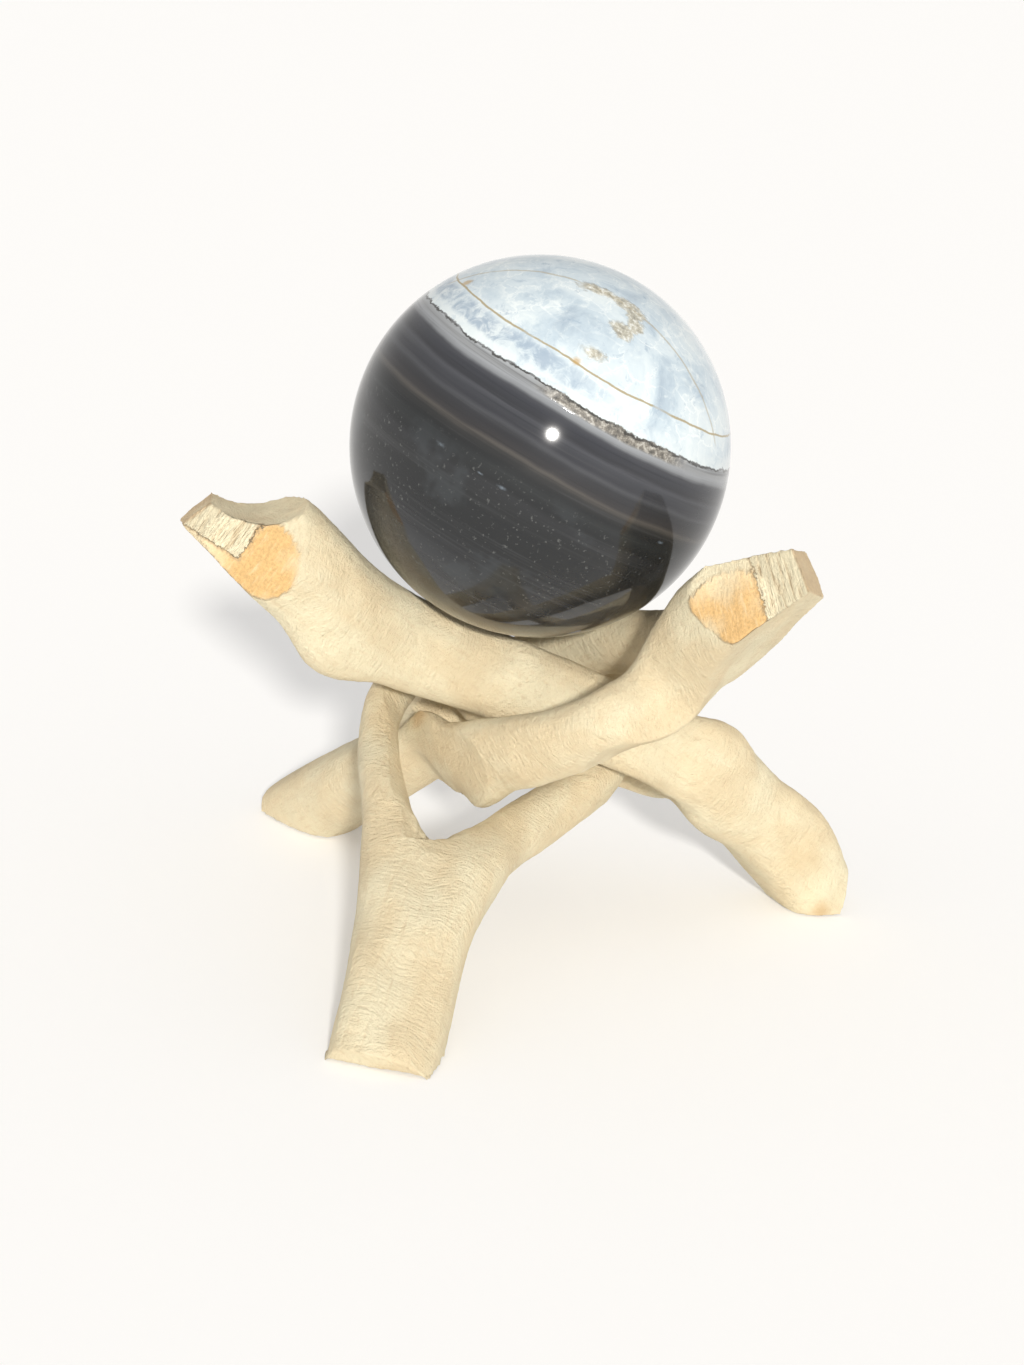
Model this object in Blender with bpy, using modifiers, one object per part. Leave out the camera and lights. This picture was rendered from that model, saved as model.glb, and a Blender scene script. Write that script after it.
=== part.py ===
"""Polished agate ball resting on a folding stand of three carved, interlocked wooden legs.

Each leg is one stick with a foot, a long eye carved through its middle, and a pared head.
Every leg passes whole through the eye of its neighbour, so the three lock like woven rings
and open into a tripod.  Metres, +Z up; the origin is on the ground under the middle of the part.
"""

import math

import bmesh
import bpy
from mathutils import Matrix, Vector
from mathutils.bvhtree import BVHTree

# Driving sizes
BALL_DIAMETER = 0.065
LEG_LENGTH = 0.1475
LEG_TILT = math.radians(35.3)
EYE_ROLL = math.radians(12.0)
CROSSING_HEIGHT = 0.039
SEAT_GAP = 0.0003
SCOOP_RADIUS = 0.0123

# Roundness
BALL_SEGMENTS = 40
SCOOP_SEGMENTS = 32
CARVING_LEVELS = 2

# A rounded section lies inside its cage: these shares bring it back to the stated size
TRUNK_FILL = 0.958
STRAND_FILL = 0.917

CUTTER_REACH = 0.1
SEATING_ROUNDS = 40

# A leg is set out in parts of its length, heel to tip being 147.5 of them, a millimetre each here
LEG_PARTS = 147.5
UNIT = LEG_LENGTH / LEG_PARTS

# Each ring of a leg: along, across and through (its centre in the leg's own axes), half width and
# half thickness, all in those parts, and its twist in degrees.  Each knife cut: a point, and the
# way it faces, or for the scoop a point on its floor and the way its round cutter lies.
LEGS = {
    "front_leg": {
        "azimuth": math.radians(72.3),
        "foot": [
            (-98.1, -2.6, -0.2, 9.7, 8, 0),
            (-71.0, 0.4, 2.7, 9.7, 8, 0),
            (-49.9, 3.6, 4.5, 9.2, 8, 0),
            (-35.3, 4.5, 3.0, 13, 7.2, 0),
        ],
        "upper": [
            (-25.2, 16.6, 0.8, 4.4, 6.5, 0),
            (-13.5, 22.0, -3.4, 4.1, 5.7, 0),
            (-0.4, 26.1, -7.0, 4.1, 5.7, 0),
            (19.0, 18.0, -4.1, 4.6, 6.5, 0),
        ],
        "lower": [
            (-22.0, -3.9, -6.5, 5.2, 6.6, 0),
            (-8.4, -11.2, -11.1, 4.8, 6.5, 0),
            (4.7, -18.7, -14.1, 4.6, 6.5, 0),
            (23.8, -13.3, -8.9, 4.8, 6.5, 0),
        ],
        "head": [
            (35.5, 2.0, -0.3, 11, 8.5, 0),
            (45.9, 1.0, 0.5, 9.5, 9, 0),
            (56.3, 0.2, 0.6, 9.5, 9, 0),
            (76.0, -0.4, 0.4, 9, 8.5, 0),
        ],
        "cuts": [
            ("heel", (-77, 0, 0), (-1, 0, 0.1)),
            ("face", (51, -9.2, 0), (0.45, -0.89, 0.1)),
            ("end", (70, 0, 0), (1, 0, 0)),
            ("scoop", (67, 0, 2.0), (0, 1, 0)),
        ],
    },
    "right_leg": {
        "azimuth": math.radians(192.3),
        "foot": [
            (-99.6, -3.5, -2.6, 8, 7.5, 0),
            (-71.9, -3.5, 4.5, 8, 7.3, 0),
            (-48.5, -1.6, 10.7, 8.5, 7.7, 0),
            (-33.0, 4.8, 11.7, 11.5, 8.7, 0),
        ],
        "upper": [
            (-17.2, 10.2, 8.7, 4.7, 7.6, 0),
            (-3.4, 6.7, 6.0, 4.6, 7.7, 0),
            (9.1, 0.3, 3.3, 4.6, 7.8, 0),
            (21.4, -1.5, -0.4, 5, 8.6, 0),
        ],
        "lower": [
            (-36.4, -10.7, 7.5, 4.5, 5.6, 0),
            (-24.9, -19.2, 4.1, 4.0, 5.4, 0),
            (-5.3, -15.0, -3.7, 4.4, 5.6, 0),
            (15.2, -7.8, 3.4, 4.1, 5.0, 0),
        ],
        "head": [
            (34.1, -3.6, -2.8, 10, 10, 0),
            (43.7, -1.0, -2.1, 9.5, 9.3, 0),
            (54.1, 0.7, -0.1, 9.5, 11.0, 0),
            (80.0, -0.2, 0.3, 8.5, 7.5, 0),
        ],
        "cuts": [
            ("heel", (-75, 0, 0), (-1, 0, 0.3)),
            ("face", (51, 8.8, -2), (0.45, 0.88, -0.15)),
            ("end", (68.5, -0.4, -3.3), (1, -0.04, 0.306)),
            ("under", (61.5, 2.3, -8.4), (0.158, -0.184, -1)),
            ("scoop", (67, 0, 0.2), (0, 0.97, -0.24)),
        ],
    },
    "left_leg": {
        "azimuth": math.radians(312.3),
        "foot": [
            (-101.5, 4.5, 2.4, 9.5, 8.5, 0),
            (-73.9, 3.0, 4.1, 9.5, 8.5, 0),
            (-50.5, -0.3, 3.8, 9, 8, 0),
            (-27.7, -1.1, 3.7, 10.6, 6.8, 0),
        ],
        "upper": [
            (-20.9, 13.7, 7.7, 4.4, 6.2, 0),
            (-6.1, 17.9, 7.7, 4.4, 6.2, 0),
            (11.3, 17.3, 4.0, 4.4, 6.2, 0),
            (26.1, 14.5, -1.1, 4.6, 6.5, 0),
        ],
        "lower": [
            (-1.0, -12.8, -3.0, 4.6, 7.6, 0),
            (16.4, -12.2, -7.4, 5.0, 6.4, 0),
            (28.2, -8.0, -9.2, 5.0, 6.8, 0),
            (34.8, -1.8, -8.9, 5.2, 7.4, 0),
        ],
        "head": [
            (38.6, 6.9, -5.8, 10, 8.3, 0),
            (49.5, 5.5, -2.7, 9.5, 8.8, 0),
            (59.2, 3.1, -2.1, 9.5, 9.4, 0),
            (82.0, 3.9, 1.5, 9, 9, 0),
        ],
        "cuts": [
            ("heel", (-77, 0, 0), (-1, 0, 0)),
            ("face", (53.6, -6.2, -1.2), (0.45, -0.84, 0.28)),
            ("end", (71.7, 4.6, 2.1), (0.95, 0.57, -0.086)),
            ("top", (66.7, 2.6, 4), (0.22, 0.307, 1)),
            ("under", (72.3, 2.5, -5.2), (0.211, -0.141, -1)),
        ],
    },
}


def ring_points(ring, heading, columns):
    """Corner points of one cage ring: one row from side to side, then the other row back again."""
    half_width, half_thickness, twist = ring[3:]
    through = Vector((0, 0, 1))
    through = (through - heading * heading.dot(through)).normalized()
    through = Matrix.Rotation(math.radians(twist), 3, heading) @ through
    across = through.cross(heading)
    if columns == 3:
        across = across * (half_width / TRUNK_FILL)
        through = through * half_thickness
    else:
        across = across * (half_width / STRAND_FILL)
        through = through * (half_thickness / STRAND_FILL)
    steps = [-1 + 2 * i / (columns - 1) for i in range(columns)]
    row = [across * step - through for step in steps]
    row += [across * step + through for step in reversed(steps)]
    return [(Vector(ring[:3]) + p) * UNIT for p in row]


def chain_points(rings, before, after, columns):
    """Corner points of a run of rings, each square to the way the run is heading there."""
    centres = [before] + [Vector(r[:3]) for r in rings] + [after]
    centres[0] = centres[0] or centres[1]
    centres[-1] = centres[-1] or centres[-2]
    headings = [(centres[i + 2] - centres[i]).normalized() for i in range(len(rings))]
    return [ring_points(r, h, columns) for r, h in zip(rings, headings)]


def bridge(bm, rings):
    """Joins each ring to the next with a band of quads."""
    for first, second in zip(rings, rings[1:]):
        count = len(first)
        for i in range(count):
            j = (i + 1) % count
            bm.faces.new((first[i], first[j], second[j], second[i]))


def halves(ring):
    """A six-cornered ring seen as two four-cornered ones side by side, sharing the middle edge."""
    return [ring[0], ring[1], ring[4], ring[5]], [ring[1], ring[2], ring[3], ring[4]]


def cage(leg):
    """The leg's coarse cage: foot rings, which part into two strands, which meet again in the head."""
    centre = lambda part, i: Vector(leg[part][i][:3])
    parting = (centre("upper", 0) + centre("lower", 0)) / 2
    meeting = (centre("upper", -1) + centre("lower", -1)) / 2
    bm = bmesh.new()
    corners = lambda points: [[bm.verts.new(p) for p in ring] for ring in points]
    foot = corners(chain_points(leg["foot"], None, parting, 3))
    head = corners(chain_points(leg["head"], meeting, None, 3))
    upper = corners(chain_points(leg["upper"], centre("foot", -1), centre("head", 0), 2))
    lower = corners(chain_points(leg["lower"], centre("foot", -1), centre("head", 0), 2))
    low_start, high_start = halves(foot[-1])
    low_end, high_end = halves(head[0])
    bridge(bm, foot)
    bridge(bm, [low_start] + lower + [low_end])
    bridge(bm, [high_start] + upper + [high_end])
    bridge(bm, head)
    for ring in (foot[0], head[-1]):
        for half in halves(ring):
            bm.faces.new(half)
    bmesh.ops.recalc_face_normals(bm, faces=bm.faces)
    mesh = bpy.data.meshes.new("cage")
    bm.to_mesh(mesh)
    bm.free()
    return mesh


def new_material(name, colour, roughness):
    made = bpy.data.materials.new(name)
    made.use_nodes = True
    shader = made.node_tree.nodes["Principled BSDF"]
    shader.inputs["Base Color"].default_value = (*colour, 1)
    shader.inputs["Roughness"].default_value = roughness
    return made


def file_under(obj, collection):
    for holder in list(obj.users_collection):
        holder.objects.unlink(obj)
    collection.objects.link(obj)


def block(name, face_point, facing):
    """A cutter that takes away everything beyond a plane."""
    facing = facing.normalized()
    middle = face_point + facing * CUTTER_REACH
    bpy.ops.mesh.primitive_cube_add(size=2 * CUTTER_REACH, location=middle)
    made = bpy.context.object
    made.name = name
    made.rotation_euler = facing.to_track_quat("Z", "Y").to_euler()
    return made


def gouge(name, middle, direction):
    """A round cutter lying across the wood."""
    bpy.ops.mesh.primitive_cylinder_add(
        vertices=SCOOP_SEGMENTS, radius=SCOOP_RADIUS, depth=CUTTER_REACH, location=middle
    )
    made = bpy.context.object
    made.name = name
    made.rotation_euler = direction.to_track_quat("Z", "Y").to_euler()
    return made


def carve_leg(name, leg, material):
    """Rounds the cage, then pares it flat at the sole and wherever the head has a knife cut."""
    frame = (
        Matrix.Translation((0, 0, CROSSING_HEIGHT))
        @ Matrix.Rotation(leg["azimuth"], 4, "Z")
        @ Matrix.Rotation(-LEG_TILT, 4, "Y")
        @ Matrix.Rotation(EYE_ROLL, 4, "X")
    )
    carved = bpy.data.objects.new(name, cage(leg))
    part.objects.link(carved)
    carved.matrix_world = frame
    carved.data.materials.append(material)
    rounding = carved.modifiers.new("rounding", "SUBSURF")
    rounding.levels = CARVING_LEVELS
    rounding.render_levels = CARVING_LEVELS
    knives = [block(name + "_sole_cut", Vector((0, 0, 0)), Vector((0, 0, -1)))]
    for kind, point, facing in leg["cuts"]:
        place = Vector(point) * UNIT
        direction = frame.to_3x3() @ Vector(facing)
        if kind == "scoop":
            place.z += SCOOP_RADIUS
            knives.append(gouge(f"{name}_{kind}_cut", frame @ place, direction))
        else:
            knives.append(block(f"{name}_{kind}_cut", frame @ place, direction))
    for knife in knives:
        file_under(knife, cutters)
        knife.hide_render = True
        knife.display_type = "WIRE"
        cut = carved.modifiers.new(knife.name, "BOOLEAN")
        cut.operation = "DIFFERENCE"
        cut.solver = "EXACT"
        cut.object = knife
    return carved


def surface(obj):
    """The finished surface of a leg, in world space, for measuring against."""
    scene_now = bpy.context.evaluated_depsgraph_get()
    mesh = obj.evaluated_get(scene_now).to_mesh()
    mesh.calc_loop_triangles()
    points = [obj.matrix_world @ v.co for v in mesh.vertices]
    return BVHTree.FromPolygons(points, [t.vertices[:] for t in mesh.loop_triangles])


def bounds(objects):
    """Lowest and highest corner of the box around some objects as they are shown."""
    scene_now = bpy.context.evaluated_depsgraph_get()
    points = []
    for obj in objects:
        points += [obj.matrix_world @ v.co for v in obj.evaluated_get(scene_now).to_mesh().vertices]
    return [Vector(f(p[i] for p in points) for i in range(3)) for f in (min, max)]


def seat(surfaces):
    """Where the ball comes to rest: its skin the same small gap from each of the three heads."""
    reach = BALL_DIAMETER / 2 + SEAT_GAP
    centre = Vector((0, 0, CROSSING_HEIGHT + 1.5 * BALL_DIAMETER / 2))
    for _ in range(SEATING_ROUNDS):
        ways, misses = [], []
        for tree in surfaces:
            away = centre - tree.find_nearest(centre)[0]
            ways.append(away.normalized())
            misses.append(reach - away.length)
        centre = centre + Matrix(ways).inverted() @ Vector(misses)
    return centre


for old in list(bpy.data.objects):
    bpy.data.objects.remove(old)
part = bpy.data.collections.new("agate_ball_on_stand")
cutters = bpy.data.collections.new("cutters")
bpy.context.scene.collection.children.link(part)
bpy.context.scene.collection.children.link(cutters)

legs = [
    carve_leg(name, leg, new_material(name + "_wood", (0.80, 0.62, 0.38), 0.75))
    for name, leg in LEGS.items()
]
bpy.context.view_layer.update()

bpy.ops.mesh.primitive_uv_sphere_add(
    segments=BALL_SEGMENTS,
    ring_count=BALL_SEGMENTS // 2,
    radius=BALL_DIAMETER / 2,
    location=seat([surface(leg) for leg in legs]),
)
ball = bpy.context.object
ball.name = "agate_ball"
ball.data.materials.append(new_material("polished_agate", (0.10, 0.11, 0.13), 0.08))
file_under(ball, part)
bpy.context.view_layer.update()

# The origin goes to the ground under the middle of the part
low, high = bounds(legs + [ball])
middle = Vector(((low.x + high.x) / 2, (low.y + high.y) / 2, 0))
for obj in list(part.objects) + list(cutters.objects):
    obj.location = obj.location - middle
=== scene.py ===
import math

import bpy
from mathutils import Matrix, Vector


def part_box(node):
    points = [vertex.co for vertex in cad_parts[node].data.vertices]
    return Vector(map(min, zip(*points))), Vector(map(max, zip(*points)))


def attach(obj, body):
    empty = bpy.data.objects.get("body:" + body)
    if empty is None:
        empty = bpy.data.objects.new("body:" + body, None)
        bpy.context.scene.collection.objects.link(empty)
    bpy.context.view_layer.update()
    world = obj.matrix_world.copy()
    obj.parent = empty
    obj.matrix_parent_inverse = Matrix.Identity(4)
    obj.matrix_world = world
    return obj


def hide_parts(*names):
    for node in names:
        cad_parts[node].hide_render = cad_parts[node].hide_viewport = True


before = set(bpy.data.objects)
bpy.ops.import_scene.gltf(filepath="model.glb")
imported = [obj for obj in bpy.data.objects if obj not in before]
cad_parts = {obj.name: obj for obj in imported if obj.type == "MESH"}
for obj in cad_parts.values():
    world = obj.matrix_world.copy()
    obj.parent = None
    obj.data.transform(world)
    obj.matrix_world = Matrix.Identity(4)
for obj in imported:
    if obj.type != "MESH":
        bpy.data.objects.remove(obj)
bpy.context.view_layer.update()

# The front leg. One stick of pale raw wood, split by the knife into two strands with an eye
# between them, its foot towards the viewer and its forked head behind the stone. Knife and rasp
# marks are left on it, and nothing holds it but the other two legs woven through its eye.
CROSSING = Vector((-0.0018, 0.0034, 0.039))
LEG_TILT = math.radians(35.3)
EYE_ROLL = math.radians(12.0)
SCOOP_RADIUS = 12.3
LEG_GRAIN = 0.00052
RASP_DEPTH = 0.0007
MM = 0.001


def leg_frame(azimuth):
    """Place of a leg: X runs up the leg from heel to tip, from the point where the legs cross."""
    return (
        Matrix.Translation(CROSSING)
        @ Matrix.Rotation(azimuth, 4, "Z")
        @ Matrix.Rotation(-LEG_TILT, 4, "Y")
        @ Matrix.Rotation(EYE_ROLL, 4, "X")
    )


def carved_copy(name, node, azimuth, torn=None, swells=(), facets=(), notch=None):
    """A finely meshed copy of a leg's solid with the swellings, flats and tool marks of hand carving.

    swells: place, reach and push of each knuckle or hollow. facets: place, normal, deepest cut and
    reach of each knife flat. torn and notch: how torn a place is, and how far a cut moves it. All in
    millimetres, in the leg's own frame.
    """
    bpy.ops.object.select_all(action="DESELECT")
    leg = bpy.data.objects.new(name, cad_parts[node].data.copy())
    bpy.context.scene.collection.objects.link(leg)
    leg.data.name = name
    leg.data.materials.clear()
    leg.select_set(True)
    bpy.context.view_layer.objects.active = leg
    bpy.ops.object.mode_set(mode="EDIT")
    bpy.ops.mesh.select_all(action="SELECT")
    bpy.ops.mesh.remove_doubles(threshold=0.000005)
    bpy.ops.mesh.normals_make_consistent(inside=False)
    bpy.ops.object.mode_set(mode="OBJECT")

    fine = leg.modifiers.new("fine", "REMESH")
    fine.mode = "VOXEL"
    fine.voxel_size = LEG_GRAIN
    soften = leg.modifiers.new("soften", "SMOOTH")
    soften.factor = 0.5
    soften.iterations = 2
    for modifier in ("fine", "soften"):
        bpy.ops.object.modifier_apply(modifier=modifier)

    # knuckles, hollows and the flats that the knife left, smoothly let into the leg
    spot = leg_frame(azimuth)
    to_leg = spot.inverted()
    for vertex in leg.data.vertices:
        p = to_leg @ vertex.co / MM
        move = Vector((0.0, 0.0, 0.0))
        for centre, reach, push in swells:
            share = 1.0 - (p - Vector(centre)).length_squared / reach**2
            if share > 0.0:
                move += Vector(push) * share**2
        for centre, normal, deepest, reach in facets:
            apart = p - Vector(centre)
            cut = apart @ Vector(normal).normalized()
            share = 1.0 - apart.length_squared / reach**2
            if share > 0.0 and cut > 0.0:
                pared = cut * deepest / (cut + deepest)
                move -= Vector(normal).normalized() * pared * min(1.0, 2.0 * share)
        if notch:
            move += notch(p)
        if move.length_squared > 0.0:
            vertex.co = spot @ ((p + move) * MM)

    # vertex group where the end grain was torn out, from the place along the leg
    rough = leg.vertex_groups.new(name="torn")
    smooth = leg.vertex_groups.new(name="carved")
    for vertex in leg.data.vertices:
        weight = torn(to_leg @ vertex.co / MM) if torn else 0.0
        rough.add([vertex.index], weight, "REPLACE")
        smooth.add([vertex.index], 1.0 - weight, "REPLACE")

    # each entry: texture kind, size of its marks, stretch along, across and through, depth, group
    for kind, size, stretch, depth, group in (
        ("CLOUDS", 9.0, (1.6, 1.0, 1.0), 0.45, "carved"),
        ("VORONOI", 6.5, (1.9, 1.0, 1.0), 0.42, "carved"),
        ("CLOUDS", 1.6, (0.6, 2.4, 2.4), 0.14, "carved"),
        ("CLOUDS", 2.0, (0.55, 3.5, 3.5), 0.60, "torn"),
    ):
        marks = bpy.data.textures.new(name + "_marks", kind)
        marks.noise_scale = 1.0
        place = bpy.data.objects.new(name + "_place", None)
        bpy.context.scene.collection.objects.link(place)
        scale = Vector(stretch) * size * MM
        place.matrix_world = leg_frame(azimuth) @ Matrix.Diagonal(scale).to_4x4()
        dent = leg.modifiers.new("dent", "DISPLACE")
        dent.texture = marks
        dent.texture_coords = "OBJECT"
        dent.texture_coords_object = place
        dent.vertex_group = group
        dent.strength = depth * MM
        dent.mid_level = 0.85
        bpy.context.view_layer.update()
        bpy.ops.object.modifier_apply(modifier="dent")
        bpy.data.objects.remove(place)
        bpy.data.textures.remove(marks)
    leg.vertex_groups.clear()
    settle = leg.modifiers.new("settle", "SMOOTH")
    settle.factor = 0.4
    settle.iterations = 1
    bpy.ops.object.modifier_apply(modifier="settle")
    for vertex in leg.data.vertices:
        vertex.co.z = max(vertex.co.z, 0.0)
    bpy.ops.object.shade_smooth()
    return leg


class Nodes:
    """Short words for adding and joining the nodes of one material."""

    def __init__(self, name):
        self.material = bpy.data.materials.new(name)
        self.material.use_nodes = True
        self.tree = self.material.node_tree
        self.tree.nodes.clear()

    def add(self, kind, inputs=(), **settings):
        node = self.tree.nodes.new(kind)
        for key, value in settings.items():
            setattr(node, key, value)
        for key, value in dict(inputs).items():
            self.put(value, node.inputs[key])
        return node

    def put(self, value, socket):
        if isinstance(value, bpy.types.NodeSocket):
            self.tree.links.new(value, socket)
        elif isinstance(value, bpy.types.Node):
            self.tree.links.new(value.outputs[0], socket)
        else:
            socket.default_value = value

    def math(self, operation, a, b=0.0, c=0.0, clamp=False):
        node = self.tree.nodes.new("ShaderNodeMath")
        node.operation = operation
        node.use_clamp = clamp
        for socket, value in zip(node.inputs, (a, b, c)):
            self.put(value, socket)
        return node.outputs[0]

    def step(self, value, start, end, low=0.0, high=1.0):
        """Smooth step of a value from low at start to high at end."""
        node = self.add(
            "ShaderNodeMapRange",
            {"Value": value, "From Min": start, "From Max": end, "To Min": low, "To Max": high},
            interpolation_type="SMOOTHSTEP",
        )
        return node.outputs[0]

    def mix(self, amount, a, b):
        node = self.tree.nodes.new("ShaderNodeMix")
        node.data_type = "RGBA"
        for socket, value in ((node.inputs[0], amount), (node.inputs[6], a), (node.inputs[7], b)):
            if isinstance(value, tuple):
                value = (*value[:3], 1.0)
            self.put(value, socket)
        return node.outputs[2]

    def noise(self, place, scale, detail=2.0, rough=0.5, distort=0.0):
        return self.add(
            "ShaderNodeTexNoise",
            {"Vector": place, "Scale": scale, "Detail": detail, "Roughness": rough, "Distortion": distort},
        ).outputs[0]

    def stretched(self, place, factors, turn=(0.0, 0.0, 0.0)):
        return self.add(
            "ShaderNodeMapping", {"Vector": place, "Scale": factors, "Rotation": turn}, vector_type="POINT"
        ).outputs[0]

    def vector(self, operation, a, b=(0.0, 0.0, 0.0)):
        """Vector arithmetic. A length, a distance or a dot product comes out as one number."""
        node = self.add("ShaderNodeVectorMath", {0: a, 1: b}, operation=operation)
        return node.outputs["Value" if operation in ("LENGTH", "DISTANCE", "DOT_PRODUCT") else "Vector"]

    def across(self, place, normal, offset):
        """Distance of the place from a plane, along the plane's normal."""
        return self.math("SUBTRACT", self.vector("DOT_PRODUCT", place, normal), offset)

    def ramp(self, value, stops, interpolation="LINEAR"):
        node = self.add("ShaderNodeValToRGB", {"Fac": value})
        line = node.color_ramp
        line.interpolation = interpolation
        while len(line.elements) < len(stops):
            line.elements.new(0.5)
        for element, (position, colour) in zip(line.elements, stops):
            element.position = position
            element.color = (*colour, 1.0)
        return node.outputs[0]


PALE_WOOD = (0.88, 0.735, 0.485)
CREAM_WOOD = (0.94, 0.845, 0.60)
TAN_WOOD = (0.77, 0.60, 0.37)
DUSK_WOOD = (0.68, 0.53, 0.33)
HEART_WOOD = (0.70, 0.45, 0.195)
END_WOOD = (0.66, 0.475, 0.29)
DEEP_WOOD = (0.42, 0.30, 0.17)


def raw_wood(name, azimuth, patches=(), torn_faces=(), ends=(), scoops=(), tints=()):
    """Raw carved wood: cream, with fibres along the leg and rasp marks across it.

    patches: normal, offset, centre, reach and paler side of each smooth slice over the heartwood.
    torn_faces: normal, offset, start and lowest and highest place of torn end grain. ends: normal and
    offset of each sawn tip. scoops: axis place, height, lean and radius. tints: place, reach, strength.
    """
    wood = Nodes(name)
    object_place = wood.add("ShaderNodeTexCoord").outputs["Object"]
    spot = leg_frame(azimuth)
    place = wood.add(
        "ShaderNodeMapping",
        {
            "Vector": object_place,
            "Location": spot.to_translation(),
            "Rotation": spot.to_euler(),
            "Scale": (MM, MM, MM),
        },
        vector_type="TEXTURE",
    ).outputs[0]
    axes = wood.add("ShaderNodeSeparateXYZ", {0: place}).outputs

    # cream and tan clouds, fibres along the leg, fine fuzz, and rasp marks that wander across it
    cloud = wood.noise(wood.stretched(place, (0.055, 0.10, 0.10)), 1.0, 3.0, 0.55)
    fibre = wood.noise(wood.stretched(place, (0.12, 1.5, 1.5)), 1.0, 4.0, 0.6, 0.4)
    fuzz = wood.noise(place, 1.9, 5.0, 0.78)
    wander = wood.noise(place, 0.09, 1.0)
    drift = wood.add("ShaderNodeCombineXYZ", {0: wood.math("MULTIPLY", wander, 9.0)}).outputs[0]
    bent = wood.vector("ADD", place, drift)
    rasp = wood.noise(wood.stretched(bent, (1.9, 0.38, 0.38)), 1.0, 4.0, 0.72)
    slant = wood.noise(wood.stretched(bent, (1.5, 0.42, 0.42), (0.0, 0.6, 0.7)), 1.0, 4.0, 0.72)

    colour = wood.mix(wood.step(cloud, 0.36, 0.66), PALE_WOOD, CREAM_WOOD)
    colour = wood.mix(wood.step(fibre, 0.50, 0.74, 0.0, 0.40), colour, TAN_WOOD)
    colour = wood.mix(wood.step(fuzz, 0.55, 0.70, 0.0, 0.45), colour, TAN_WOOD)
    colour = wood.mix(wood.step(rasp, 0.55, 0.70, 0.0, 0.42), colour, TAN_WOOD)
    colour = wood.mix(wood.step(slant, 0.58, 0.74, 0.0, 0.42), colour, DUSK_WOOD)
    colour = wood.mix(wood.step(rasp, 0.46, 0.30, 0.0, 0.55), colour, CREAM_WOOD)

    height = wood.math("MULTIPLY_ADD", rasp, -0.8, wood.math("MULTIPLY", slant, -0.7))
    height = wood.math("MULTIPLY_ADD", fuzz, -0.9, height)
    height = wood.math("MULTIPLY_ADD", fibre, -0.35, height)

    # the knife's smooth slice over the heartwood: warm orange with a pale, worn rim
    for normal, offset, centre, reach, paler in patches:
        off_plane = wood.math("ABSOLUTE", wood.across(place, Vector(normal).normalized(), offset))
        on_plane = wood.step(off_plane, 0.30, 0.62, 1.0, 0.0)
        apart = wood.vector("SUBTRACT", place, centre)
        away = wood.vector("LENGTH", wood.vector("DIVIDE", apart, reach))
        wobble = wood.noise(wood.stretched(place, (1.2, 0.5, 0.5)), 1.0, 3.0, 0.6)
        away = wood.math("MULTIPLY_ADD", wobble, 0.30, away)
        inside = wood.math("MULTIPLY", on_plane, wood.step(away, 1.02, 1.16, 1.0, 0.0))
        light_heart = tuple(c * 1.08 for c in HEART_WOOD)
        dark_heart = tuple(c * 0.80 for c in HEART_WOOD)
        grainy = wood.mix(wood.step(fuzz, 0.36, 0.66), light_heart, dark_heart)
        combed = wood.noise(wood.stretched(place, (1.9, 0.3, 0.3)), 1.0, 3.0, 0.6)
        grainy = wood.mix(wood.step(combed, 0.50, 0.74, 0.0, 0.32), grainy, PALE_WOOD)
        toward = wood.math("MULTIPLY_ADD", wobble, 3.0, wood.across(apart, paler, 1.5))
        grainy = wood.mix(wood.step(toward, 1.0, 8.0, 0.0, 0.75), grainy, PALE_WOOD)
        colour = wood.mix(inside, colour, grainy)
        height = wood.math("MULTIPLY", height, wood.math("MULTIPLY_ADD", inside, -0.6, 1.0))

    # end grain torn in lines across the leg
    for normal, offset, start, low, high in torn_faces:
        off_plane = wood.math("ABSOLUTE", wood.across(place, Vector(normal).normalized(), offset))
        on_plane = wood.step(off_plane, 0.7, 1.1, 1.0, 0.0)
        ragged = wood.noise(place, 0.8, 4.0, 0.7)
        along = wood.math("MULTIPLY_ADD", ragged, 3.0, axes[0])
        depth = wood.math("MULTIPLY_ADD", ragged, 2.0, axes[2])
        region = wood.math("MULTIPLY", wood.step(along, start + 1.4, start + 1.6), on_plane)
        region = wood.math("MULTIPLY", region, wood.step(depth, low + 0.9, low + 1.1))
        region = wood.math("MULTIPLY", region, wood.step(depth, high + 0.9, high + 1.1, 1.0, 0.0))
        edge = wood.math("MULTIPLY", wood.step(along, start + 0.9, start + 1.4), on_plane)
        edge = wood.math("MULTIPLY", edge, wood.step(depth, low + 0.4, low + 0.9))
        edge = wood.math("MULTIPLY", edge, wood.step(depth, high + 0.9, high + 1.4, 1.0, 0.0))
        colour = wood.mix(wood.math("MULTIPLY", edge, 0.75), colour, DEEP_WOOD)
        lines = wood.noise(wood.stretched(place, (1.5, 0.13, 0.13), (0.0, 0.12, 0.0)), 1.0, 4.0, 0.72, 0.25)
        torn = wood.mix(wood.step(lines, 0.47, 0.66, 0.0, 0.7), CREAM_WOOD, TAN_WOOD)
        torn = wood.mix(wood.step(fuzz, 0.54, 0.70, 0.0, 0.3), torn, DUSK_WOOD)
        torn = wood.mix(wood.step(lines, 0.56, 0.66, 0.0, 0.6), torn, DEEP_WOOD)
        colour = wood.mix(region, colour, torn)
        deeper = wood.math("MULTIPLY", wood.math("MULTIPLY", region, lines), -2.8)
        height = wood.math("ADD", height, deeper)

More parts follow.
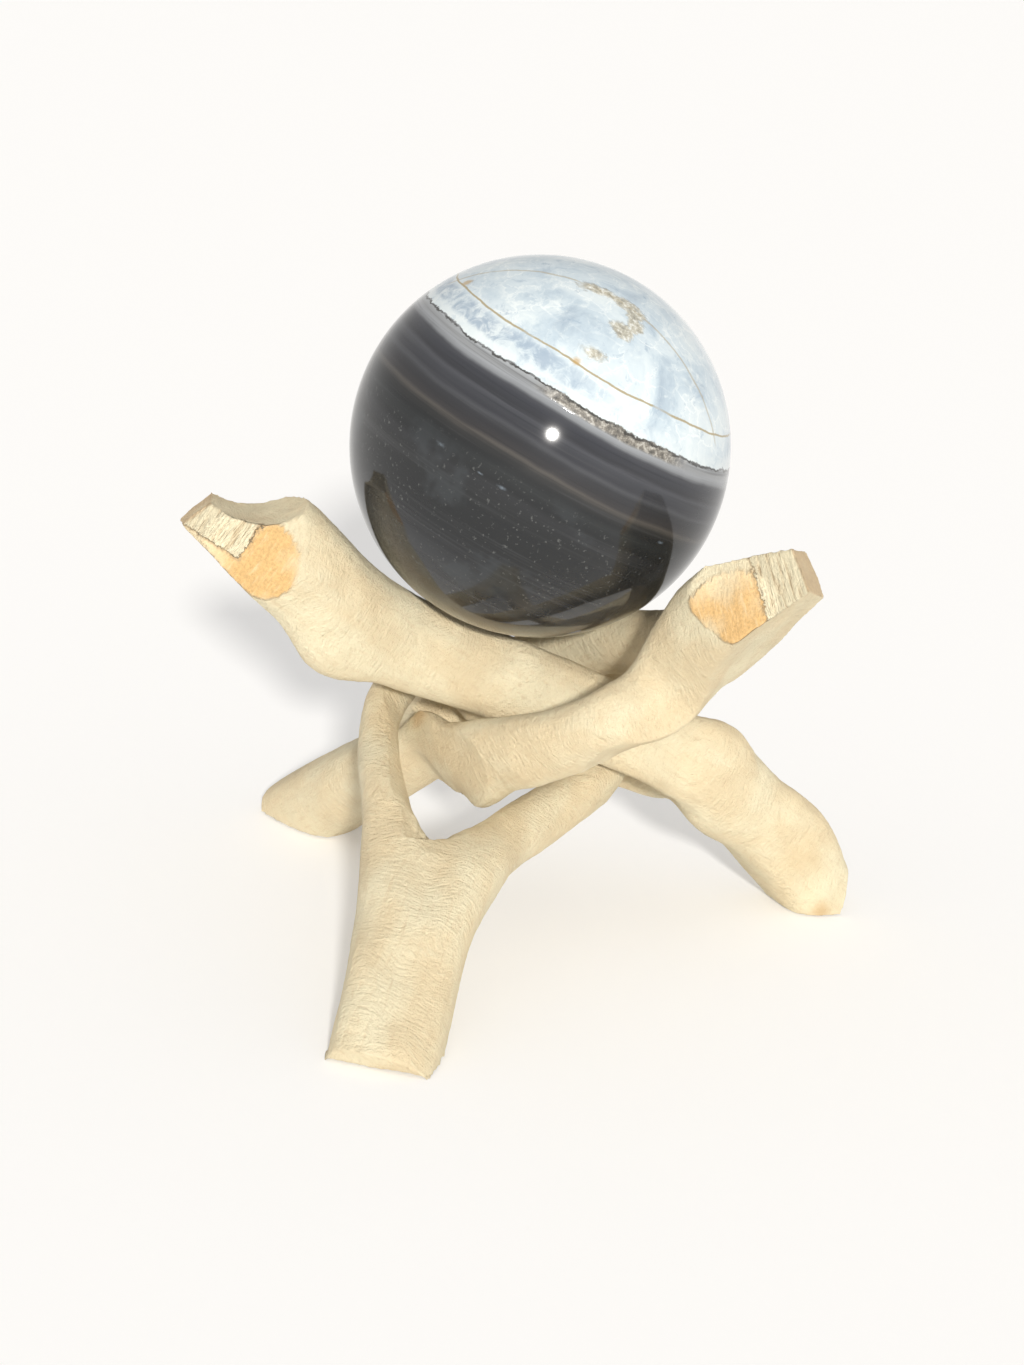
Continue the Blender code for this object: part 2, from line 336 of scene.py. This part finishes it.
    # darker end grain at the tips, and a slightly darker tan tint over the scoop that the stone rests in
    for normal, offset in ends:
        off_plane = wood.math("ABSOLUTE", wood.across(place, Vector(normal).normalized(), offset))
        on_plane = wood.step(off_plane, 0.35, 0.75, 0.85, 0.0)
        sawn = wood.mix(wood.step(fuzz, 0.38, 0.66), END_WOOD, TAN_WOOD)
        colour = wood.mix(on_plane, colour, sawn)
    for centre_x, centre_z, lean, radius in scoops:
        off_x = wood.math("SUBTRACT", axes[0], centre_x)
        off_z = wood.across(place, (0.0, lean, math.sqrt(1.0 - lean * lean)), centre_z)
        squares = [wood.math("MULTIPLY", off, off) for off in (off_x, off_z)]
        reach = wood.math("SQRT", wood.math("ADD", *squares))
        off_scoop = wood.math("ABSOLUTE", wood.math("SUBTRACT", reach, radius))
        in_scoop = wood.step(off_scoop, 0.4, 0.9, 0.15, 0.0)
        sawn = wood.mix(wood.step(fuzz, 0.38, 0.66), TAN_WOOD, END_WOOD)
        colour = wood.mix(in_scoop, colour, sawn)

    # faint orange spots, each entry: place, reach, strength
    for centre, reach, strength in tints:
        apart = wood.math("MULTIPLY_ADD", fuzz, reach * 0.8, wood.vector("DISTANCE", place, centre))
        spot_share = wood.step(apart, reach * 0.5, reach * 1.5, strength, 0.0)
        colour = wood.mix(spot_share, colour, HEART_WOOD)

    bump = wood.add("ShaderNodeBump", {"Strength": 1.0, "Distance": RASP_DEPTH, "Height": height})
    shader = wood.add(
        "ShaderNodeBsdfPrincipled",
        {"Base Color": colour, "Roughness": wood.step(fuzz, 0.3, 0.7, 0.66, 0.84), "Normal": bump},
    )
    shader.inputs["Specular IOR Level"].default_value = 0.28
    wood.add("ShaderNodeOutputMaterial", {"Surface": shader})
    return wood.material


front_azimuth = math.radians(72.3)


NOTCH_BELOW = 35.5
NOTCH_ACROSS = 9.2
NOTCH_LENGTH = 10.0
NOTCH_SIDE = 2.5
NOTCH_DEPTH = 1.7
FLUTE_DEPTH = 0.4


def crotch_notch(p):
    """The knife's stop cut below the eye, with flutes pared down to it from above."""
    up = p.x + NOTCH_BELOW
    past = up - 0.5 * (NOTCH_ACROSS - p.y)
    inside = NOTCH_ACROSS + 0.44 * up - p.y
    if p.z < 2.0 or past < 0.0 or past > NOTCH_LENGTH or inside < 0.0 or p.y < NOTCH_SIDE:
        return Vector((0.0, 0.0, 0.0))
    share = (1.0 - past / NOTCH_LENGTH) * min(1.0, inside / 0.8) * min(1.0, (p.y - NOTCH_SIDE) / 2.0)
    depth = NOTCH_DEPTH * min(1.0, past / 0.5) + FLUTE_DEPTH * math.sin(inside * 4.2)
    return Vector((-0.3, 0.1, -0.95)) * depth * share


front_leg = carved_copy(
    "carved_front_leg",
    "front_leg",
    front_azimuth,
    facets=[
        ((-13.9, 19.1, 2.3), (0.456, -0.732, 0.506), 3.0, 18.0),
        ((-60.0, -10.0, 9.0), (0.0, -0.72, 0.7), 0.9, 17.0),
    ],
    notch=crotch_notch,
)
front_leg.data.materials.append(
    raw_wood(
        "raw_wood_front",
        front_azimuth,
        patches=[((0.45, -0.89, 0.1), 30.98, (57.0, -5.0, 0.0), (8.0, 8.0, 7.0), (0.0, 0.3, 0.9))],
        ends=[((1.0, 0.0, 0.0), 70.0)],
        scoops=[(67.0, 14.3, 0.0, SCOOP_RADIUS)],
    )
)
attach(front_leg, "root")
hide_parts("front_leg")

# The right leg. The same raw wood: its foot stands to the right, and its head leans out to the
# left of the stone, sliced down to the orange heartwood, with the end grain torn beyond.
right_azimuth = math.radians(192.3)
right_slice = Vector((0.45, 0.88, -0.15)).normalized()
right_slice_offset = right_slice @ Vector((51.0, 8.8, -2.0))


def torn_head_right(p):
    """How torn the head is: all of the slice past the smooth patch, down to its lower edge."""
    off_slice = right_slice @ p - right_slice_offset
    return 1.0 if p.x > 59.5 and abs(off_slice) < 0.7 and -6.2 < p.z < 2.5 else 0.0


right_leg = carved_copy(
    "carved_right_leg",
    "right_leg",
    right_azimuth,
    torn_head_right,
    swells=[
        ((-31.0, 13.0, 17.0), 10.0, (0.0, 0.1, 2.0)),
        ((-60.0, 5.5, 14.0), 14.0, (-0.3, 0.3, 2.6)),
        ((36.0, 3.0, -12.0), 12.0, (0.2, 0.4, -2.8)),
        ((-40.0, 5.0, 1.0), 12.0, (0.3, -0.2, -2.2)),
    ],
    facets=[
        ((34.0, 9.5, -9.0), (-0.05, 0.62, -0.78), 0.9, 17.0),
        ((-52.0, 14.0, 6.0), (0.1, 0.99, 0.1), 0.7, 12.0),
    ],
)
right_leg.data.materials.append(
    raw_wood(
        "raw_wood_right",
        right_azimuth,
        patches=[(right_slice, right_slice_offset, (58.0, 5.5, -4.0), (9.5, 9.0, 7.5), (0.9, -0.3, -0.3))],
        torn_faces=[(right_slice, right_slice_offset, 59.0, -5.8, 8.0)],
        ends=[((1.0, -0.04, 0.306), 64.5)],
        scoops=[(67.0, 12.13, 0.24, SCOOP_RADIUS)],
        tints=[((-69.7, 4.7, 2.1), 2.6, 0.6), ((-60.0, 9.0, 8.0), 7.0, 0.25)],
    )
)
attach(right_leg, "root")
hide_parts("right_leg")

# The left leg. The third raw wooden leg, its foot to the left and far back, its head to the right
# in front of the stone, with a broad slice, a darker sawn tip and a strip planed off its top.
left_azimuth = math.radians(312.3)
left_slice = Vector((0.45, -0.84, 0.28)).normalized()
left_slice_offset = left_slice @ Vector((53.6, -6.2, -1.2))


def torn_head_left(p):
    """How torn the head is: the slice from the smooth patch out to the tip."""
    off_slice = left_slice @ p - left_slice_offset
    return 1.0 if p.x > 65.0 and abs(off_slice) < 0.7 else 0.0


left_leg = carved_copy(
    "carved_left_leg",
    "left_leg",
    left_azimuth,
    torn_head_left,
    swells=[
        ((-3.0, -15.0, -8.0), 9.0, (-0.7, -0.8, -2.3)),
        ((-17.0, -14.0, -1.0), 9.0, (0.5, 0.6, 1.7)),
        ((-14.5, -10.5, 7.0), 9.0, (0.9, 0.9, 2.4)),
        ((-26.5, 2.0, 10.5), 8.5, (0.9, 0.9, 2.6)),
        ((-23.0, -12.3, -4.0), 10.5, (1.1, 1.2, 3.2)),
        ((38.0, -5.0, -12.0), 14.0, (0.6, 0.7, -3.6)),
    ],
    facets=[
        ((-8.0, -12.3, -2.0), (-0.32, -0.94, 0.09), 2.6, 20.0),
        ((30.0, -12.0, -9.0), (0.0, -0.75, -0.66), 0.9, 20.0),
    ],
)
left_leg.data.materials.append(
    raw_wood(
        "raw_wood_left",
        left_azimuth,
        patches=[(left_slice, left_slice_offset, (59.5, -3.0, -2.0), (9.0, 9.0, 6.8), (0.0, 0.35, 0.93))],
        torn_faces=[(left_slice, left_slice_offset, 65.0, -12.0, 12.0)],
        ends=[((0.95, 0.57, -0.086), 63.5)],
        tints=[((-13.0, -9.5, 8.5), 3.4, 0.6)],
    )
)
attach(left_leg, "root")
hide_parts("left_leg")

# The stone. A ball of banded agate, turned and polished to a glass finish, loose in the fork of
# the three heads: grey and charcoal bands below, and a pale blue cap with crystal pits above.
ball_low, ball_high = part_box("agate_ball")
BALL_CENTRE = (ball_low + ball_high) / 2
BALL_RADIUS = (ball_high.z - ball_low.z) / 2
BAND_TURN = tuple(math.radians(a) for a in (-3.35, 26.12, -1.23))
BALL_CUTS = 127
SEAM_LEVEL = 0.414
LINE_LEVEL = 0.574
PIT_DEPTH = 0.0004

bpy.ops.object.select_all(action="DESELECT")
bpy.ops.mesh.primitive_cube_add(size=2 * BALL_RADIUS, location=(0.0, 0.0, 0.0))
ball = bpy.context.object
ball.name = "polished_agate_ball"
ball.data.name = ball.name
bpy.ops.object.mode_set(mode="EDIT")
bpy.ops.mesh.select_all(action="SELECT")
bpy.ops.mesh.subdivide(number_cuts=BALL_CUTS)
bpy.ops.object.mode_set(mode="OBJECT")
rounding = ball.modifiers.new("rounding", "CAST")
rounding.factor = 1.0
rounding.size = BALL_RADIUS
rounding.use_radius_as_size = False
bpy.ops.object.modifier_apply(modifier="rounding")
bpy.ops.object.shade_smooth()
ball.data.transform(Matrix.Translation(BALL_CENTRE))
ball.location = (0.0, 0.0, 0.0)

stone = Nodes("banded_agate")
stone_place = stone.add(
    "ShaderNodeMapping",
    {
        "Vector": stone.add("ShaderNodeTexCoord").outputs["Object"],
        "Location": BALL_CENTRE,
        "Rotation": BAND_TURN,
        "Scale": (BALL_RADIUS,) * 3,
    },
    vector_type="TEXTURE",
).outputs[0]
stone_axes = stone.add("ShaderNodeSeparateXYZ", {0: stone_place}).outputs

# how far up the bands a place is, with the bands' slow waves in it
wave = stone.noise(stone_place, 1.3, 2.0, 0.5)
ripple = stone.noise(stone_place, 7.0, 2.0, 0.5)
level = stone.math("MULTIPLY_ADD", wave, 0.07, stone_axes[2])
level = stone.math("MULTIPLY_ADD", ripple, 0.012, level)
level = stone.math("SUBTRACT", level, 0.041)

GREY_BANDS = (
    (-1.00, (0.010, 0.010, 0.011)),
    (-0.80, (0.016, 0.016, 0.016)),
    (-0.62, (0.026, 0.028, 0.031)),
    (-0.55, (0.017, 0.018, 0.020)),
    (-0.40, (0.013, 0.014, 0.015)),
    (-0.22, (0.016, 0.017, 0.018)),
    (-0.15, (0.021, 0.022, 0.024)),
    (-0.12, (0.014, 0.015, 0.016)),
    (-0.06, (0.019, 0.021, 0.022)),
    (-0.02, (0.015, 0.016, 0.017)),
    (0.02, (0.027, 0.027, 0.027)),
    (0.045, (0.071, 0.065, 0.059)),
    (0.060, (0.035, 0.033, 0.034)),
    (0.10, (0.027, 0.027, 0.030)),
    (0.13, (0.032, 0.033, 0.037)),
    (0.150, (0.055, 0.057, 0.064)),
    (0.17, (0.032, 0.033, 0.039)),
    (0.21, (0.040, 0.042, 0.049)),
    (0.235, (0.057, 0.059, 0.068)),
    (0.255, (0.029, 0.030, 0.035)),
    (0.30, (0.037, 0.039, 0.047)),
    (0.325, (0.053, 0.055, 0.063)),
    (0.335, (0.172, 0.180, 0.192)),
    (0.36, (0.264, 0.276, 0.292)),
    (0.385, (0.240, 0.248, 0.256)),
    (0.410, (0.320, 0.336, 0.352)),
    (0.50, (0.336, 0.352, 0.368)),
)
grey = stone.ramp(
    stone.math("MULTIPLY_ADD", level, 0.5, 0.5),
    [((t + 1.0) / 2.0, colour) for t, colour in GREY_BANDS],
)
thin_bands = stone.noise(stone.stretched(stone_place, (0.7, 0.7, 34.0)), 1.0, 3.0, 0.6)
grey = stone.mix(stone.step(thin_bands, 0.52, 0.78, 0.0, 0.38), grey, (0.066, 0.068, 0.072))
grey = stone.mix(stone.step(thin_bands, 0.48, 0.26, 0.0, 0.45), grey, (0.012, 0.013, 0.015))
speck = stone.noise(stone_place, 46.0, 2.0, 0.6)
low_part = stone.step(level, 0.02, -0.15)
specks = stone.math("MULTIPLY", stone.step(speck, 0.62, 0.74, 0.0, 0.55), low_part)
grey = stone.mix(specks, grey, (0.13, 0.135, 0.13))
smoke = stone.noise(stone_place, 2.2, 4.0, 0.6)
smoky = stone.math("MULTIPLY", stone.step(smoke, 0.50, 0.60, 0.0, 0.55), low_part)
grey = stone.mix(smoky, grey, (0.038, 0.043, 0.047))

# small bluish lenses lying along the bands, and a painted glint on the right side (the last two entries),
# each entry: place, half length
for centre, half in (
    ((-0.505, -0.862, -0.098), 0.060),
    ((-0.272, -0.956, -0.112), 0.026),
    ((-0.146, -0.982, -0.117), 0.042),
    # painted glint: these two bluish spots on the right side stand for a glint of light, not for lenses in
    # the stone
    ((0.705, -0.709, -0.016), 0.042),
    ((0.75, -0.654, -0.095), 0.020),
):
    apart = stone.vector("SUBTRACT", stone_place, centre)
    lens = stone.vector("LENGTH", stone.vector("DIVIDE", apart, (half, half, half * 0.36)))
    lens = stone.math("MULTIPLY_ADD", speck, 0.9, stone.math("MULTIPLY_ADD", smoke, 0.9, lens))
    grey = stone.mix(stone.step(lens, 0.7, 1.6, 0.65, 0.0), grey, (0.20, 0.24, 0.28))

# the pale cap: blue-grey clouds, white lace along its lower edge
mist = stone.noise(stone_place, 2.6, 5.0, 0.62, 0.6)
lace = stone.noise(stone_place, 11.0, 6.0, 0.72, 0.8)
cap = stone.ramp(
    mist,
    [
        (0.30, (0.32, 0.39, 0.46)),
        (0.44, (0.44, 0.52, 0.58)),
        (0.56, (0.54, 0.61, 0.65)),
        (0.72, (0.64, 0.69, 0.70)),
    ],
)
cap = stone.mix(stone.step(lace, 0.50, 0.70, 0.0, 0.6), cap, (0.66, 0.71, 0.71))
cap = stone.mix(stone.step(lace, 0.44, 0.30, 0.0, 0.6), cap, (0.26, 0.34, 0.43))
ice_drift = stone.add(
    "ShaderNodeCombineXYZ", {0: stone.math("MULTIPLY", lace, 0.22), 1: stone.math("MULTIPLY", mist, 0.3)}
)
ice_place = stone.vector("ADD", stone_place, ice_drift)
ice = stone.add(
    "ShaderNodeTexVoronoi", {"Vector": ice_place, "Scale": 6.5}, feature="DISTANCE_TO_EDGE"
).outputs["Distance"]
veins = stone.math("MULTIPLY", stone.step(ice, 0.05, 0.0, 0.0, 0.75), stone.step(mist, 0.40, 0.60, 0.2, 1.0))
cap = stone.mix(veins, cap, (0.70, 0.74, 0.74))
blue_band = stone.math("MULTIPLY", stone.step(level, 0.445, 0.475), stone.step(level, 0.565, 0.53))
blue_band = stone.math("MULTIPLY", blue_band, stone.step(stone_axes[0], 0.25, -0.35))
blue_band = stone.math("MULTIPLY", blue_band, stone.step(lace, 0.62, 0.42, 0.2, 0.9))
cap = stone.mix(blue_band, cap, (0.29, 0.36, 0.44))
near_edge = stone.math("MULTIPLY", stone.step(level, 0.52, 0.43), stone.step(lace, 0.36, 0.56, 0.35, 1.0))
near_edge = stone.math("MULTIPLY", near_edge, stone.math("MULTIPLY_ADD", blue_band, -0.9, 1.0))
cap = stone.mix(stone.math("MULTIPLY", near_edge, 0.75), cap, (0.63, 0.68, 0.69))


def thin_line(distance, width, strength, noise):
    """Share of a thin line along a surface, broken up by noise."""
    away = stone.math("ABSOLUTE", distance)
    share = stone.step(away, width * 0.35, width, strength, 0.0)
    return stone.math("MULTIPLY", share, stone.step(noise, 0.30, 0.52, 0.25, 1.0))


line_level = stone.math("SUBTRACT", stone.math("MULTIPLY_ADD", lace, 0.012, level), LINE_LEVEL)
cap = stone.mix(thin_line(line_level, 0.0068, 0.85, mist), cap, (0.31, 0.24, 0.11))
for centre, reach in (((-0.76, -0.27, 0.59), 0.035), ((-0.125, -0.81, 0.58), 0.03)):
    rust = stone.math("MULTIPLY_ADD", lace, reach * 1.4, stone.vector("DISTANCE", stone_place, centre))
    cap = stone.mix(stone.step(rust, reach, reach * 1.8, 0.7, 0.0), cap, (0.42, 0.27, 0.09))
side_plane = stone.across(stone_place, (0.19, 1.0, 0.328), -0.1405)
side_plane = stone.math("MULTIPLY_ADD", stone.math("SUBTRACT", lace, 0.5), 0.03, side_plane)
side_line = thin_line(side_plane, 0.011, 0.6, ripple)
side_line = stone.math("MULTIPLY", side_line, stone.step(level, 0.50, 0.56))
cap = stone.mix(side_line, cap, (0.36, 0.30, 0.19))

# tan crystal pits in the cap, each entry: place, reach along, across and up
pits = 0.0
for centre, reach in (
    ((-0.19, -0.41, 0.90), (0.14, 0.05, 0.05)),
    ((-0.03, -0.43, 0.91), (0.12, 0.05, 0.06)),
    ((0.045, -0.47, 0.885), (0.07, 0.08, 0.05)),
    ((0.01, -0.60, 0.80), (0.075, 0.075, 0.06)),
    ((-0.07, -0.76, 0.65), (0.085, 0.05, 0.05)),
    ((0.07, -0.53, 0.845), (0.06, 0.07, 0.06)),
):
    pit = stone.vector("DIVIDE", stone.vector("SUBTRACT", stone_place, centre), reach)
    pit = stone.math("MULTIPLY_ADD", lace, 2.0, stone.vector("LENGTH", pit))
    pits = stone.math("MAXIMUM", pits, stone.step(pit, 1.55, 2.0, 1.0, 0.0))
crumb = stone.noise(stone_place, 30.0, 3.0, 0.7)
pit_colour = stone.ramp(
    crumb, [(0.35, (0.23, 0.20, 0.14)), (0.5, (0.43, 0.39, 0.29)), (0.68, (0.76, 0.77, 0.73))]
)
cap = stone.mix(stone.math("MULTIPLY", pits, 0.8), cap, pit_colour)

# the ragged join between the cap and the grey, with its dark seam and strip of brown crystal
tooth = stone.noise(stone_place, 16.0, 5.0, 0.7)
join = stone.math("MULTIPLY_ADD", stone.math("SUBTRACT", tooth, 0.5), 0.055, level)
in_cap = stone.step(join, SEAM_LEVEL + 0.002, SEAM_LEVEL + 0.010)
crystal = stone.math("MULTIPLY", stone.step(level, 0.358, 0.376), stone.step(stone_axes[0], -0.28, -0.10))
crystal = stone.math("MULTIPLY", crystal, stone.step(stone_axes[0], 0.66, 0.48))
crystal_colour = stone.ramp(
    crumb, [(0.34, (0.05, 0.045, 0.035)), (0.5, (0.19, 0.17, 0.14)), (0.66, (0.50, 0.48, 0.43))]
)
grey = stone.mix(stone.math("MULTIPLY", crystal, 0.85), grey, crystal_colour)
seam = stone.math("ABSOLUTE", stone.math("SUBTRACT", join, SEAM_LEVEL))
seam = stone.step(seam, 0.003, 0.009, 0.9, 0.0)
seam = stone.math("MULTIPLY", seam, stone.step(tooth, 0.38, 0.55, 0.35, 1.0))
agate = stone.mix(in_cap, grey, cap)
agate = stone.mix(seam, agate, (0.035, 0.033, 0.030))

open_grain = stone.math("MAXIMUM", pits, stone.math("MULTIPLY", crystal, stone.step(join, 0.43, 0.41)))
stone_bump = stone.add(
    "ShaderNodeBump",
    {"Strength": 0.5, "Distance": PIT_DEPTH, "Height": stone.math("MULTIPLY", open_grain, crumb)},
)
agate_shader = stone.add(
    "ShaderNodeBsdfPrincipled",
    {"Base Color": agate, "Roughness": stone.step(open_grain, 0.2, 0.9, 0.09, 0.42), "Normal": stone_bump},
)
agate_shader.inputs["IOR"].default_value = 1.46
stone.add("ShaderNodeOutputMaterial", {"Surface": agate_shader})
ball.data.materials.append(stone.material)
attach(ball, "root")
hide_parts("agate_ball")

# The studio: a plain pale floor, a broad soft sun from the front right, pale light all round, and
# the camera at the photograph's angle. None of it is part of the object.
bpy.ops.object.select_all(action="DESELECT")
bpy.ops.mesh.primitive_plane_add(size=60.0, location=(0.0, 0.0, 0.0))
floor = bpy.context.object
floor.name = "pale_floor"
paper = Nodes("pale_paper")
paper_shader = paper.add(
    "ShaderNodeBsdfPrincipled", {"Base Color": (0.80, 0.80, 0.80, 1.0), "Roughness": 0.9}
)
paper_shader.inputs["Specular IOR Level"].default_value = 0.1
paper_shader.inputs["Emission Color"].default_value = (1.0, 0.99, 0.98, 1.0)
paper_shader.inputs["Emission Strength"].default_value = 0.19
paper.add("ShaderNodeOutputMaterial", {"Surface": paper_shader})
floor.data.materials.append(paper.material)

world = bpy.data.worlds.new("pale_room")
bpy.context.scene.world = world
world.use_nodes = True
air = world.node_tree
sky_place = air.nodes.new("ShaderNodeTexCoord")
sky_axes = air.nodes.new("ShaderNodeSeparateXYZ")
sky_light = air.nodes.new("ShaderNodeMapRange")
for socket, value in (("From Min", 0.03), ("From Max", 0.30), ("To Min", 0.93), ("To Max", 0.62)):
    sky_light.inputs[socket].default_value = value
air.links.new(sky_place.outputs["Generated"], sky_axes.inputs[0])
air.links.new(sky_axes.outputs["Z"], sky_light.inputs["Value"])
air.links.new(sky_light.outputs[0], air.nodes["Background"].inputs["Strength"])
air.nodes["Background"].inputs["Color"].default_value = (1.0, 0.985, 0.965, 1.0)
bpy.context.scene.view_settings.view_transform = "Standard"

SUN_TOWARD = Vector((0.114, -0.951, 0.36))
sun = bpy.data.lights.new("key_light", "SUN")
sun.energy = 3.3
sun.angle = math.radians(4.0)
sun.color = (1.0, 0.97, 0.92)
sun_object = bpy.data.objects.new("key_light", sun)
bpy.context.scene.collection.objects.link(sun_object)
sun_object.rotation_euler = SUN_TOWARD.to_track_quat("Z", "Y").to_euler()

camera = bpy.data.objects.new("camera", bpy.data.cameras.new("camera"))
bpy.context.scene.collection.objects.link(camera)
camera.data.sensor_width = 36.0
camera.data.lens = 65.14
camera.data.clip_start = 0.01
camera.data.clip_end = 100.0
camera.location = (-0.0034, -0.4107, 0.1812)
camera.rotation_mode = "ZYX"
camera.rotation_euler = (math.radians(71.8), 0.0, math.radians(3.4))
bpy.context.scene.camera = camera
